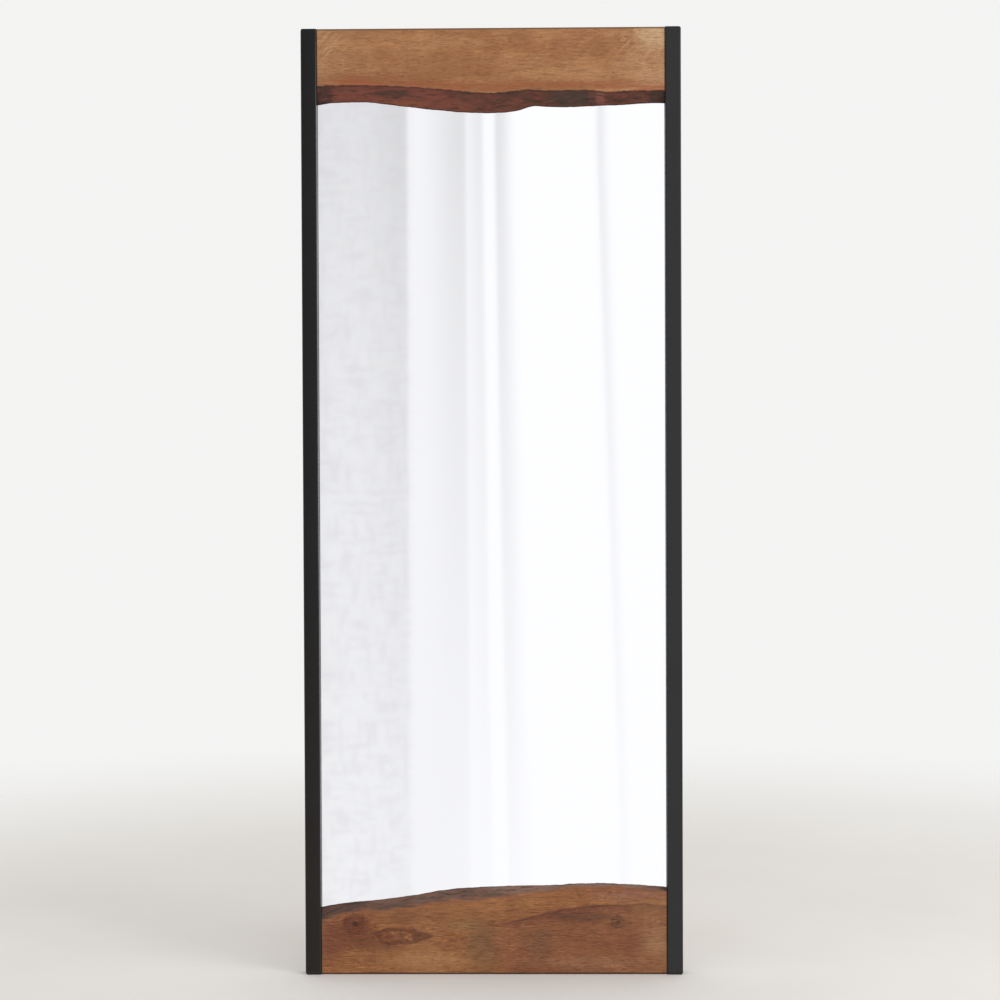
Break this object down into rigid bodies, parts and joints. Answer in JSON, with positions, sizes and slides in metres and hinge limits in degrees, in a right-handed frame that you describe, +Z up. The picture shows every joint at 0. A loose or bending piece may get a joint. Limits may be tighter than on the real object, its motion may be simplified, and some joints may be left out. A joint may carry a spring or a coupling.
{
  "type": "full-length floor mirror",
  "caption": "Full-length floor mirror with two black steel rails, a live-edge hardwood board across the top and the bottom, and ring hangers on the back.",
  "frame": {"origin": "bottom centre of the overall box, on the floor between the two feet", "axes": "+Z up along the rails, -Y out of the mirror's face, +X to the right as seen from the front"},
  "size_m": [0.61, 0.0334, 1.524],
  "materials": {
    "rail_coat": "black satin powder coat",
    "bar_coat": "black satin powder coat",
    "foot_plastic": "moulded black plastic",
    "top_board_wood": "clear matt oil on light brown hardwood, natural bark edge",
    "bottom_board_wood": "clear matt oil on red-brown hardwood, natural bark edge",
    "silvered_glass": "float glass silvered at its back",
    "foam_tape": "white foam tape",
    "panel_board": "raw fibreboard",
    "zinc_screw": "zinc plated",
    "hanger_steel": "nickel plated",
    "bumper_rubber": "soft black rubber"
  },
  "bodies": {
    "mirror_frame": {"left_rail": "rail_coat", "right_rail": "rail_coat", "left_top_cap": "rail_coat", "right_top_cap": "rail_coat", "left_foot": "foot_plastic", "right_foot": "foot_plastic", "top_cross_bar": "bar_coat", "bottom_cross_bar": "bar_coat", "left_panel_ledge": "bar_coat", "right_panel_ledge": "bar_coat", "top_board": "top_board_wood", "bottom_board": "bottom_board_wood", "mirror_glass": "silvered_glass", "mirror_tape": "foam_tape", "backing_panel": "panel_board", "top_board_screws": "zinc_screw", "bottom_board_screws": "zinc_screw", "left_panel_screws": "zinc_screw", "right_panel_screws": "zinc_screw", "left_hanger_strap": "hanger_steel", "right_hanger_strap": "hanger_steel", "left_hanger_screws": "zinc_screw", "right_hanger_screws": "zinc_screw", "left_wall_bumper": "bumper_rubber", "right_wall_bumper": "bumper_rubber"},
    "left_ring": {"left_hanger_ring": "hanger_steel"},
    "right_ring": {"right_hanger_ring": "hanger_steel"}
  },
  "joints": [
    {"name": "left_ring_hinge", "type": "hinge", "parent": "mirror_frame", "child": "left_ring", "pos_m": [-0.2923, 0.0126, 1.274], "axis": [1, 0, 0], "range_deg": [-5, 175]},
    {"name": "right_ring_hinge", "type": "hinge", "parent": "mirror_frame", "child": "right_ring", "pos_m": [0.2923, 0.0126, 1.274], "axis": [1, 0, 0], "range_deg": [-5, 175]}
  ]
}
